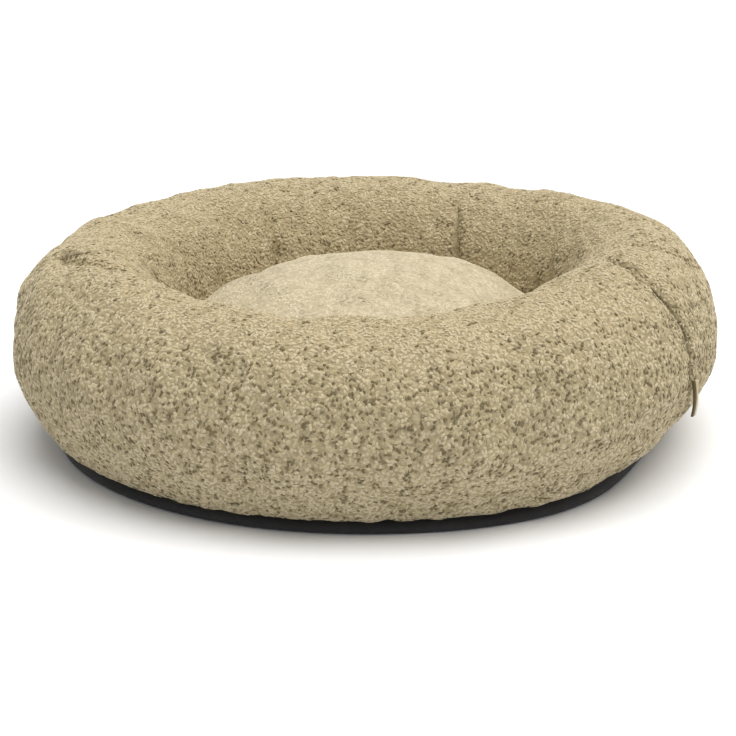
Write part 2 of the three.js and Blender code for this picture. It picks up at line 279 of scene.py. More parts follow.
class ClothNet:
    """A net of points on a piece of cloth. Its columns go round the bed, and its rows lie across.

    The columns close on themselves. The rows close too on a tube; on a turned form they run from the
    pole underneath to the pole on top.
    """

    def __init__(self, points: np.ndarray, turns: np.ndarray, tube: bool) -> None:
        """Keeps the net.

        Args:
            points: the places, as columns by rows by three coordinates.
            turns: each column's share of a full turn, rising from 0 to under 1.
            tube: whether the rows close on themselves.
        """
        self.points = points
        self.turns = turns
        self.tube = tube

    @property
    def shape(self) -> tuple[int, int]:
        """How many columns and rows the net has."""
        return self.points.shape[0], self.points.shape[1]

    def normals(self) -> np.ndarray:
        """Unit normals: the step round the bed crossed with the step across, by central differences.

        Returns:
            A normal for each point; at a pole it is the mean of the row beside it.
        """
        around = np.roll(self.points, -1, 0) - np.roll(self.points, 1, 0)
        if self.tube:
            across = np.roll(self.points, -1, 1) - np.roll(self.points, 1, 1)
            return unit(np.cross(around, across))
        across = np.gradient(self.points, axis=1)
        normals = unit(np.cross(around, across))
        normals[:, 0] = unit(normals[:, 1].mean(0))
        normals[:, -1] = unit(normals[:, -2].mean(0))
        return normals

    def moved(self, distance: np.ndarray) -> ClothNet:
        """The net with each point moved along its normal by a distance, inwards if negative."""
        return ClothNet(self.points + self.normals() * distance[..., None], self.turns, self.tube)

    def read(self, values: np.ndarray, turn: np.ndarray, across: np.ndarray) -> np.ndarray:
        """Reads values that stand on the net at any place, by cubic curves through four neighbours.

        The four weights along each way are the Catmull-Rom ones, so that a value at a point of the
        net is given back as it is.

        Args:
            values: what stands at the points, as columns by rows by any further axes.
            turn: shares of a full turn round the bed.
            across: shares of the way across the cloth, from 0 to 1.

        Returns:
            The values at those places.
        """
        columns, rows = self.shape
        marks = np.concatenate([self.turns, self.turns[:1] + 1])
        column = np.interp(np.mod(turn, 1), marks, np.arange(columns + 1))
        row = across * (rows if self.tube else rows - 1)
        column_start, column_weights = self._weights(column)
        row_start, row_weights = self._weights(row)
        total = 0.0
        for i in range(4):
            picked_column = np.mod(column_start + i, columns)
            for j in range(4):
                at_row = row_start + j
                picked_row = np.mod(at_row, rows) if self.tube else np.clip(at_row, 0, rows - 1)
                weight = column_weights[i] * row_weights[j]
                found = values[picked_column, picked_row]
                total = total + weight.reshape(weight.shape + (1,) * (found.ndim - weight.ndim)) * found
        return total

    @staticmethod
    def _weights(place: np.ndarray) -> tuple[np.ndarray, np.ndarray]:
        """The first of four neighbours of each place, and the Catmull-Rom weights of the four."""
        whole = np.floor(place).astype(int)
        t = place - whole
        weights = np.stack(
            [
                ((2 - t) * t - 1) * t / 2,
                ((3 * t - 5) * t * t + 2) / 2,
                ((4 - 3 * t) * t + 1) * t / 2,
                (t - 1) * t * t / 2,
            ]
        )
        return whole - 1, weights

    def frames(self, turn: np.ndarray, across: np.ndarray) -> tuple[np.ndarray, np.ndarray, np.ndarray]:
        """Places on the cloth with their two main directions.

        Args:
            turn: shares of a full turn round the bed.
            across: shares of the way across the cloth.

        Returns:
            The points, the unit normals and unit vectors that lie in the cloth and point round the bed.
        """
        points = self.read(self.points, turn, across)
        normals = unit(self.read(self.normals(), turn, across))
        level = np.cross(np.array([0.0, 0.0, 1.0]), points)
        along = unit(level - normals * (level * normals).sum(-1, keepdims=True))
        return points, normals, along

    def lengths(self) -> tuple[np.ndarray, np.ndarray]:
        """How long the cloth is.

        Returns:
            The way across up to each row and then the whole, and the way round at each row.
        """
        following = np.roll(self.points, -1, 1)
        step = np.linalg.norm(following - self.points, axis=-1).mean(0)
        if not self.tube:
            step = step[:-1]
        round_step = np.linalg.norm(np.roll(self.points, -1, 0) - self.points, axis=-1)
        return np.concatenate([[0], np.cumsum(step)]), round_step.sum(0)

    def faces(self) -> tuple[np.ndarray, np.ndarray, np.ndarray]:
        """The net's own faces, facing outwards.

        Returns:
            The vertices, the four-sided faces, and the three-sided ones at the poles.
        """
        columns, rows = self.shape
        if self.tube:
            order = np.arange(columns * rows).reshape(columns, rows)
            over = np.roll(order, -1, 1)
            vertices = self.points.reshape(-1, 3)
            triangles = np.zeros((0, 3), int)
            start, end = order, over
        else:
            middle = rows - 2
            order = np.arange(columns * middle).reshape(columns, middle)
            vertices = np.concatenate(
                [self.points[:, 1:-1].reshape(-1, 3), self.points[:1, 0], self.points[:1, -1]]
            )
            under = np.full(columns, columns * middle)
            beside = np.roll(order, -1, 0)
            triangles = np.concatenate(
                [
                    np.stack([under, beside[:, 0], order[:, 0]], -1),
                    np.stack([under + 1, order[:, -1], beside[:, -1]], -1),
                ]
            )
            start, end = order[:, :-1], order[:, 1:]
        quads = np.stack([start, np.roll(start, -1, 0), np.roll(end, -1, 0), end], -1)
        return vertices, quads.reshape(-1, 4), triangles

    def face_maps(self) -> tuple[np.ndarray, np.ndarray]:
        """Where the faces lie on a flat map, corner by corner.

        A tube is cut once round and once across and laid out as a rectangle. A turned form is laid out
        as two discs side by side: its lower half on the left and its upper half on the right, with the
        distance from the disc's middle being the way along the cloth from the pole.

        Returns:
            The places of the four-sided faces' corners, and those of the three-sided ones.
        """
        columns, rows = self.shape
        column = np.arange(columns)
        if self.tube:
            row = np.arange(rows)
            corner_column = column[:, None, None] + np.array([0, 1, 1, 0])
            corner_row = row[None, :, None] + np.array([0, 0, 1, 1])
            flat = np.broadcast_arrays(corner_column / columns, corner_row / rows)
            return np.stack(flat, -1).reshape(-1, 2), np.zeros((0, 2))
        way, _ = self.lengths()
        half = int(np.searchsorted(way, way[-1] / 2))
        share_under = way / way[half]
        share_over = (way[-1] - way) / (way[-1] - way[half])

        def disc(corner_column: np.ndarray, corner_row: np.ndarray, upper: np.ndarray) -> np.ndarray:
            """Places on one of the two discs, whose radius is a little under a quarter of the map."""
            angle = corner_column / columns * FULL_TURN
            reach = 0.24 * np.where(upper, share_over[corner_row], share_under[corner_row])
            middle = np.where(upper, 0.75, 0.25)
            return np.stack([middle + reach * np.cos(angle), 0.5 + reach * np.sin(angle)], -1)

        row = np.arange(1, rows - 2)
        corner_column = column[:, None, None] + np.array([0, 1, 1, 0])
        corner_row = row[None, :, None] + np.array([0, 0, 1, 1])
        corner_column, corner_row = np.broadcast_arrays(corner_column, corner_row)
        upper = np.broadcast_to((row >= half)[None, :, None], corner_row.shape)
        quads = disc(corner_column, corner_row, upper).reshape(-1, 2)
        shape = (columns, 3)
        pole_row = np.broadcast_to([0, 1, 1], shape)
        under = disc(column[:, None] + np.array([0.5, 1, 0]), pole_row, np.zeros(shape, bool))
        pole_row = rows - 1 - pole_row
        over = disc(column[:, None] + np.array([0.5, 0, 1]), pole_row, np.ones(shape, bool))
        return quads, np.concatenate([under.reshape(-1, 2), over.reshape(-1, 2)])


def make_piece(
    name: str,
    vertices: np.ndarray,
    quads: np.ndarray,
    triangles: np.ndarray,
    corner_map: np.ndarray | None = None,
    tones: np.ndarray | None = None,
) -> bpy.types.Object:
    """Puts arrays of points and faces into a smooth mesh object that stands at the origin.

    Args:
        name: the piece's name.
        vertices: the points.
        quads: the four-sided faces, as numbers of vertices.
        triangles: the three-sided faces.
        corner_map: a place on the flat map for each corner, the quads' corners first.
        tones: a number for each vertex that the material reads as the yarn's tone.

    Returns:
        The new object, linked to the scene.
    """
    mesh = bpy.data.meshes.new(name)
    mesh.vertices.add(len(vertices))
    mesh.vertices.foreach_set("co", vertices.astype(np.float32).ravel())
    corners = np.concatenate([quads.ravel(), triangles.ravel()]).astype(np.int32)
    mesh.loops.add(len(corners))
    mesh.loops.foreach_set("vertex_index", corners)
    quad_starts = np.arange(len(quads)) * 4
    triangle_starts = quads.size + np.arange(len(triangles)) * 3
    starts = np.concatenate([quad_starts, triangle_starts]).astype(np.int32)
    mesh.polygons.add(len(starts))
    mesh.polygons.foreach_set("loop_start", starts)
    mesh.polygons.foreach_set("use_smooth", np.ones(len(starts), bool))
    if corner_map is not None:
        layer = mesh.uv_layers.new(name=BAKE_MAP)
        layer.uv.foreach_set("vector", corner_map.astype(np.float32).ravel())
    if tones is not None:
        attribute = mesh.attributes.new(TONE, "FLOAT", "POINT")
        attribute.data.foreach_set("value", tones.astype(np.float32))
    mesh.update(calc_edges=True)
    mesh.validate()
    piece = bpy.data.objects.new(name, mesh)
    bpy.context.scene.collection.objects.link(piece)
    return piece


def net_piece(name: str, net: ClothNet, tones: np.ndarray | None = None) -> bpy.types.Object:
    """The mesh object of a whole net."""
    vertices, quads, triangles = net.faces()
    quad_map, triangle_map = net.face_maps()
    tones = np.ones(len(vertices)) if tones is None else tones.ravel()
    return make_piece(name, vertices, quads, triangles, np.concatenate([quad_map, triangle_map]), tones)


def settle(piece: bpy.types.Object, node: str) -> None:
    """Lets a piece ride on the bed's body and stand for its node, whose own part is hidden."""
    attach(piece, BODY)
    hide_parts(node)


@dataclass(frozen=True)
class Stuffing:
    """Swells a skin as its filling does, with a cloth simulation on a coarse copy of it.

    The cloth is cut a little larger than the form, so that between the places where it is held it
    finds its own soft folds.
    """

    pressure: float = 4.0
    slack: float = 0.02
    last_frame: int = 20
    cap: float = 8 * MM
    weight: float = 0.3
    stiffness: float = 15.0
    bending: float = 0.5
    quality: int = 5

    def swell(self, net: ClothNet, held: np.ndarray) -> np.ndarray:
        """Runs the simulation.

        Args:
            net: the coarse skin.
            held: which of its points stay where they are.

        Returns:
            How far each point of the net went along its normal, softly held under the cap.
        """
        vertices, quads, triangles = net.faces()
        skin = make_piece("stuffing_trial", vertices, quads, triangles)
        inner = held if net.tube else held[:, 1:-1]
        group = skin.vertex_groups.new(name="held")
        group.add(np.flatnonzero(inner).tolist(), 1.0, "REPLACE")
        cloth = skin.modifiers.new("stuffing", "CLOTH")
        settings = cloth.settings
        settings.quality = self.quality
        settings.mass = self.weight
        settings.tension_stiffness = self.stiffness
        settings.compression_stiffness = self.stiffness
        settings.shear_stiffness = self.stiffness / 3
        settings.bending_stiffness = self.bending
        settings.use_pressure = True
        settings.uniform_pressure_force = self.pressure
        settings.shrink_min = -self.slack
        settings.effector_weights.gravity = 0
        settings.vertex_group_mass = group.name
        cloth.collision_settings.use_collision = False
        cloth.point_cache.frame_start = 1
        cloth.point_cache.frame_end = self.last_frame
        scene = bpy.context.scene
        for step in range(1, self.last_frame + 1):
            scene.frame_set(step)
        filled = skin.evaluated_get(bpy.context.evaluated_depsgraph_get()).to_mesh()
        places = np.empty(len(vertices) * 3, np.float32)
        filled.vertices.foreach_get("co", places)
        bpy.data.objects.remove(skin)
        scene.frame_set(1)
        places = places.reshape(-1, 3).astype(float)
        if net.tube:
            moved = places.reshape(net.points.shape)
        else:
            columns, rows = net.shape
            moved = net.points.copy()
            moved[:, 1:-1] = places[:-2].reshape(columns, rows - 2, 3)
            moved[:, 0] = places[-2]
            moved[:, -1] = places[-1]
        way = ((moved - net.points) * net.normals()).sum(-1)
        return self.cap * np.tanh(way / self.cap)


class Term:
    """A number that a shader works out: wraps a socket, and adds a Math node for each operator."""

    def __init__(self, dye: Dye, socket: bpy.types.NodeSocket) -> None:
        """Keeps the dye whose nodes are used, and the socket."""
        self.dye = dye
        self.socket = socket

    def _math(self, operation: str, first: Any, second: Any) -> Term:
        """A Math node on two numbers or terms."""
        return self.dye.node("Math", {"operation": operation}, {0: first, 1: second})

    def __add__(self, other: Any) -> Term:
        """This plus the other."""
        return self._math("ADD", self, other)

    def __sub__(self, other: Any) -> Term:
        """This less the other."""
        return self._math("SUBTRACT", self, other)

    def __rsub__(self, other: Any) -> Term:
        """The other less this."""
        return self._math("SUBTRACT", other, self)

    def __mul__(self, other: Any) -> Term:
        """This times the other."""
        return self._math("MULTIPLY", self, other)

    __radd__ = __add__
    __rmul__ = __mul__

    def above(self, low: float, high: float) -> Term:
        """A soft step from 0 at low to 1 at high."""
        settings = {"interpolation_type": "SMOOTHSTEP"}
        return self.dye.node("MapRange", settings, {"Value": self, "From Min": low, "From Max": high})

    def sine(self) -> Term:
        """The sine of this."""
        return self._math("SINE", self, 0.0)


class Dye:
    """The nodes of one material, from the Principled shader back."""

    def __init__(self, name: str, constants: Mapping[str, Any]) -> None:
        """Starts the material.

        Args:
            name: the material's name.
            constants: values set straight on the shader's own sockets.
        """
        self.material = bpy.data.materials.new(name)
        self.material.use_nodes = True
        self.tree = self.material.node_tree
        self.shader = next(n for n in self.tree.nodes if n.type == "BSDF_PRINCIPLED")
        for socket, value in constants.items():
            self.shader.inputs[socket].default_value = value

    def node(
        self, kind: str, settings: Mapping[str, Any], inputs: Mapping[Any, Any], output: Any = 0
    ) -> Term:
        """Adds a node.

        Args:
            kind: the node's type, without the words ShaderNode.
            settings: its own settings, each set as an attribute of the node.
            inputs: for a socket's name or number, a plain value or a term to link.
            output: the name or number of the socket that is given back.

        Returns:
            The output as a term.
        """
        made = self.tree.nodes.new("ShaderNode" + kind)
        for key, value in settings.items():
            setattr(made, key, value)
        for key, value in inputs.items():
            if isinstance(value, Term):
                self.tree.links.new(value.socket, made.inputs[key])
            else:
                made.inputs[key].default_value = value
        return Term(self, made.outputs[output])

    def place(self) -> Term:
        """The place on the piece, in its own metres."""
        return self.node("TexCoord", {}, {}, "Object")

    def along(self, place: Term, axis: str) -> Term:
        """How far a place lies along one axis."""
        return self.node("SeparateXYZ", {}, {0: place}, axis)

    def tone(self) -> Term:
        """The number that the piece's mesh carries at each point."""
        return self.node("Attribute", {"attribute_name": TONE}, {}, "Fac")

    def mix(self, share: Any, first: Any, second: Any) -> Term:
        """A colour between two colours."""
        inputs = {0: share, 6: first, 7: second}
        return self.node("Mix", {"data_type": "RGBA"}, inputs, 2)

    def noise(self, place: Term, scale: float, detail: float = 2.0) -> Term:
        """Cloudy noise from 0 to 1 at that many clouds a metre."""
        inputs = {"Vector": place, "Scale": scale, "Detail": detail, "Roughness": 0.5}
        return self.node("TexNoise", {"noise_dimensions": "3D"}, inputs, 0)

    def feed(self, socket: str, term: Term) -> None:
        """Links a term to one of the shader's sockets."""
        self.tree.links.new(term.socket, self.shader.inputs[socket])

    def raise_surface(self, height: Term, depth: float) -> None:
        """Raises the surface by a height from 0 to 1 that stands for a depth in metres."""
        inputs = {"Height": height, "Distance": depth, "Strength": 1.0}
        self.feed("Normal", self.node("Bump", {}, inputs))


class YarnTone(Enum):
    """The tones of looped yarn: share of all loops, their size, and darkest and lightest colour."""

    PALE = (0.27, 1.0, (0.53, 0.45, 0.29), (0.58, 0.495, 0.325))
    CREAM = (0.27, 1.0, (0.48, 0.403, 0.252), (0.54, 0.458, 0.292))
    SAND = (0.27, 1.0, (0.36, 0.298, 0.172), (0.45, 0.376, 0.226))
    OLIVE = (0.19, 0.9, (0.14, 0.109, 0.051), (0.23, 0.183, 0.094))

    @property
    def share(self) -> float:
        """The share of all loops that have this tone."""
        return self.value[0]

    @property
    def size(self) -> float:
        """The size of its loops next to the others."""
        return self.value[1]

    @property
    def colours(self) -> tuple[Colour, Colour]:
        """The colours of the tone's darkest and lightest loops."""
        return self.value[2], self.value[3]


@dataclass(frozen=True)
class YarnFinish:
    """The soft, dull finish of looped yarn, from a darkest to a lightest colour."""

    name: str
    dark: Colour
    light: Colour
    fleck_scale: float = 420.0
    fleck_strength: float = 0.15
    fibre_scale: float = 1100.0
    fibre_depth: float = 0.03 * MM

    def material(self) -> bpy.types.Material:
        """The tone of each loop picks the colour, and fine noise clouds it along the yarn."""
        constants = {
            "Roughness": 0.92,
            "Specular IOR Level": 0.2,
            "Sheen Weight": 0.5,
            "Sheen Roughness": 0.4,
            "Sheen Tint": rgba((1.0, 0.95, 0.84)),
        }
        dye = Dye(self.name, constants)
        place = dye.place()
        fleck = dye.noise(place, self.fleck_scale) - 0.5
        picked = dye.tone() + fleck * (2 * self.fleck_strength)
        dye.feed("Base Color", dye.mix(picked, rgba(self.dark), rgba(self.light)))
        dye.raise_surface(dye.noise(place, self.fibre_scale, 1.0), self.fibre_depth)
        return dye.material


@dataclass(frozen=True)
class GroundFinish:
    """The ground cloth under the loops, darker between them, with painted shade in the seam."""

    name: str
    dark: Colour
    light: Colour
    # painted shade: the near-black colour of the seam's slit
    seam: Colour = (0.05, 0.038, 0.018)
    knot_height: float = 0.8 * MM
    knot_scale: float = 260.0
    cloud_scale: float = 190.0

    def material(self) -> bpy.types.Material:
        """Raised knots in clouds of two tones, with painted shade where the mesh's own tone is low."""
        dye = Dye(self.name, {"Roughness": 0.95, "Specular IOR Level": 0.15})
        place = dye.place()
        inputs = {"Vector": place, "Scale": self.knot_scale}
        knots = dye.node("TexVoronoi", {"feature": "F1"}, inputs, "Distance")
        cloudy = dye.noise(place, self.cloud_scale, 3.0).above(0.35, 0.65)
        share = cloudy * (1 - knots.above(0.3, 0.8) * 0.6)
        cloth = dye.mix(share, rgba(self.dark), rgba(self.light))
        # painted shade: the seam colour where the mesh's tone is low
        dye.feed("Base Color", dye.mix(dye.tone(), rgba(self.seam), cloth))
        dye.raise_surface(1 - knots, self.knot_height)
        return dye.material


@dataclass(frozen=True)
class SoleFinish:
    """Matt black woven cloth: two crossed sets of threads, slightly greyed by wear."""

    name: str = "black woven cloth"
    thread: float = 1.1 * MM
    weave_depth: float = 0.4 * MM
    wear_scale: float = 14.0
    dark: Colour = (0.012, 0.012, 0.013)
    light: Colour = (0.045, 0.045, 0.048)

    def material(self) -> bpy.types.Material:
        """The weave is the product of two sines, one along each way, and lifts the crossings."""
        constants = {"Roughness": 0.72, "Specular IOR Level": 0.3, "Sheen Weight": 0.12}
        dye = Dye(self.name, constants)
        place = dye.place()
        pace = math.pi / self.thread
        warp, weft = ((dye.along(place, axis) * pace).sine() for axis in ("X", "Y"))
        height = warp * weft * 0.5 + 0.5
        wear = dye.noise(place, self.wear_scale, 4.0)
        share = height * 0.7 + wear.above(0.4, 0.7) * 0.5
        dye.feed("Base Color", dye.mix(share, rgba(self.dark), rgba(self.light)))
        dye.feed("Roughness", 0.66 + wear * 0.16)
        dye.raise_surface(height, self.weave_depth)
        return dye.material


@dataclass(frozen=True)
class TapeFinish:
    """Folded tape, dark near the seam and pale towards its free side."""

    name: str = "folded tape"
    face: Colour = (0.115, 0.083, 0.034)
    border: Colour = (0.7, 0.58, 0.34)
    border_start: float = 0.48
    border_blur: float = 0.05
    grain_scale: float = 900.0
    rib: float = 0.6 * MM
    rib_depth: float = 0.2 * MM

    def material(self) -> bpy.types.Material:
        """The border starts at a share of the way out from the seam, read from the tone attribute."""
        dye = Dye(self.name, {"Roughness": 0.6, "Specular IOR Level": 0.35, "Sheen Weight": 0.1})
        place = dye.place()
        grain = dye.noise(place, self.grain_scale)
        out = dye.tone() + (grain - 0.5) * 0.12
        edge = out.above(self.border_start - self.border_blur, self.border_start + self.border_blur)
        base = dye.mix(edge, rgba(self.face), rgba(self.border))
        shade = tuple(0.5 * part for part in self.face)
        dye.feed("Base Color", dye.mix(grain * 0.35, base, rgba(shade)))
        ribs = (dye.along(place, "Z") * (math.pi / self.rib)).sine()
        dye.raise_surface(ribs * 0.5 + grain, self.rib_depth)
        return dye.material


@dataclass(frozen=True)
class Curls:
    """The looped pile: short curls of yarn that lie every way on a skin.

    A curl is a thin tube of three sides along an arch: both its ends are sunk in the skin, its middle
    stands up, and it bends to one side in the plane of the cloth. Its stations run from one pointed
    end to the other, over two rings.
    """

    pitch: float = 4.2 * MM
    length: tuple[float, float] = (6 * MM, 9 * MM)
    radius: tuple[float, float] = (1.9 * MM, 2.5 * MM)
    flatness: float = 0.27
    rise: tuple[float, float] = (0.15 * MM, 0.5 * MM)
    sink: float = 1.4 * MM
    bend: float = 0.7
    stations: tuple[float, ...] = (-1.0, -0.42, 0.42, 1.0)
    sides: int = 3

    def scatter(
        self, net: ClothNet, start: float, end: float, rng: np.random.Generator
    ) -> tuple[np.ndarray, np.ndarray]:
        """Spreads places evenly over the cloth between two heights of its way across.

        The places stand in rows one pitch apart, each with as many as its own way round has pitches,
        and every place is then moved at random by up to half a pitch both ways.

        Args:
            net: the skin.
            start: the share of the way across where the rows begin.
            end: the share where they end.
            rng: the source of the random moves.

        Returns:
            The shares of a full turn, and the shares of the way across.
        """
        way, rounds = net.lengths()
        shares = np.linspace(0, 1, len(way))
        rounds = np.append(rounds, rounds[0]) if net.tube else rounds
        first, last = np.interp([start, end], shares, way)
        lines = np.arange(first, last, self.pitch)
        counts = np.maximum(np.round(np.interp(lines, way, rounds) / self.pitch), 3).astype(int)
        line = np.repeat(np.arange(len(lines)), counts)
        order = np.arange(len(line)) - np.repeat(np.cumsum(counts) - counts, counts)
        moves = rng.uniform(-0.5, 0.5, (2, len(line)))
        lag = rng.uniform(0, 1, len(lines))[line]
        turn = np.mod((order + lag + moves[0]) / counts[line], 1)
        placed = np.clip(lines[line] + moves[1] * self.pitch, first, last)
        return turn, np.interp(placed, way, shares)

    def shapes(
        self,
        points: np.ndarray,
        normals: np.ndarray,
        along: np.ndarray,
        rng: np.random.Generator,
        size: np.ndarray | float = 1.0,
    ) -> np.ndarray:
        """The vertices of a curl at each place.

        With s from -1 to 1 along the curl, its centre line is the place plus half its length times s
        along its heading, plus a bend times (1 - s squared) to the side, plus the rise times the 0.6th
        power of (1 - s squared) above the skin, less the sink.

        Args:
            points: the places.
            normals: the skin's normals there.
            along: unit vectors in the skin that point round the bed.
            rng: the source of the random draws.
            size: the size of each curl next to the usual one.

        Returns:
            An array of curls by vertices by three: one end, the two rings, and the other end.
        """
        count = len(points)
        size = np.broadcast_to(size, count)[:, None, None]
        heading = rng.uniform(0, FULL_TURN, count)[:, None]
        ahead = along * np.cos(heading) + np.cross(normals, along) * np.sin(heading)
        aside = np.cross(normals, ahead)
        half = rng.uniform(*self.length, count)[:, None, None] / 2 * size
        bend = rng.uniform(-self.bend, self.bend, count)[:, None, None]
        rise = rng.uniform(*self.rise, count)[:, None, None]
        girth = rng.uniform(*self.radius, count)[:, None, None] * size
        s = np.array(self.stations)[None, :, None]
        arch = 1 - s * s
        line = (
            points[:, None]
            + ahead[:, None] * half * s
            + aside[:, None] * half * bend * arch
            + normals[:, None] * ((rise + self.sink) * arch**0.6 - self.sink)
        )
        run = unit(line[:, 2:] - line[:, :-2])
        across = unit(np.cross(normals[:, None], run))
        upward = np.cross(run, across)
        turn = FULL_TURN * np.arange(self.sides) / self.sides
        spoke = (
            upward[:, :, None] * self.flatness * np.cos(turn)[None, None, :, None]
            + across[:, :, None] * np.sin(turn)[None, None, :, None]
        )
        rings = line[:, 1:-1, None] + spoke * girth[:, :, None]
        return np.concatenate([line[:, :1], rings.reshape(count, -1, 3), line[:, -1:]], 1)

    def pattern(self) -> tuple[np.ndarray, np.ndarray, np.ndarray]:
        """The faces of one curl and where their corners lie on its patch of the flat map.

        Returns:
            The four-sided faces, the three-sided ones, and the corners' places, the quads' first.
        """
        side = np.arange(self.sides)
        following = (side + 1) % self.sides
        low, high, last = 1, 1 + self.sides, 1 + 2 * self.sides
        quads = np.stack([low + side, high + side, high + following, low + following], -1)
        start = np.stack([0 * side, low + side, low + following], -1)
        end = np.stack([0 * side + last, high + following, high + side], -1)

        def places(across: list[float], up: list[float]) -> np.ndarray:
            """Places on the patch of corners that lie so many sides across and thirds of the way up."""
            pair = np.broadcast_arrays((side[:, None] + across) / self.sides, np.array(up) / 3)
            return np.stack(pair, -1).reshape(-1, 2)

        around = places([0, 0, 1, 1], [1, 2, 2, 1])
        ends = [places([0.5, 0, 1], [0, 1, 1]), places([0.5, 1, 0], [3, 2, 2])]
        return quads, np.concatenate([start, end]), np.concatenate([around, *ends])

    def piece(self, name: str, shapes: np.ndarray, tones: np.ndarray) -> bpy.types.Object:
        """Joins curls into one mesh, each with a patch of its own on the flat map.

        Args:
            name: the piece's name.
            shapes: the curls' vertices.
            tones: the tone of each curl, from 0 to 1.

        Returns:
            The new object.
        """
        count, size = shapes.shape[:2]
        quads, triangles, corner_map = self.pattern()
        offset = (np.arange(count) * size)[:, None, None]
        per_side = math.ceil(math.sqrt(count))
        cell = np.stack([np.arange(count) % per_side, np.arange(count) // per_side], -1)
        patches = (cell[:, None] + 0.1 + 0.8 * corner_map[None]) / per_side
        split = quads.size
        corners = np.concatenate([patches[:, :split].reshape(-1, 2), patches[:, split:].reshape(-1, 2)])
        return make_piece(
            name,
            shapes.reshape(-1, 3),
            (quads[None] + offset).reshape(-1, 4),
            (triangles[None] + offset).reshape(-1, 3),
            corners,
            np.repeat(tones, size),
        )


@dataclass(frozen=True)
class ToneOrder:
    """How much each thing counts when the loops are put in order by tone, from dark to pale."""

    patches: float
    clumps: float
    chance: float
    # top, under and creased weigh painted light and shade; inner weighs the inner wall, partly as
    # painted shade
    top: float
    inner: float
    under: float
    creased: float

    def weigh(self, shares: Mapping[str, np.ndarray]) -> np.ndarray:
        """The sum of the shares of all these things, each times its weight."""
        return sum(getattr(self, name) * share for name, share in shares.items())


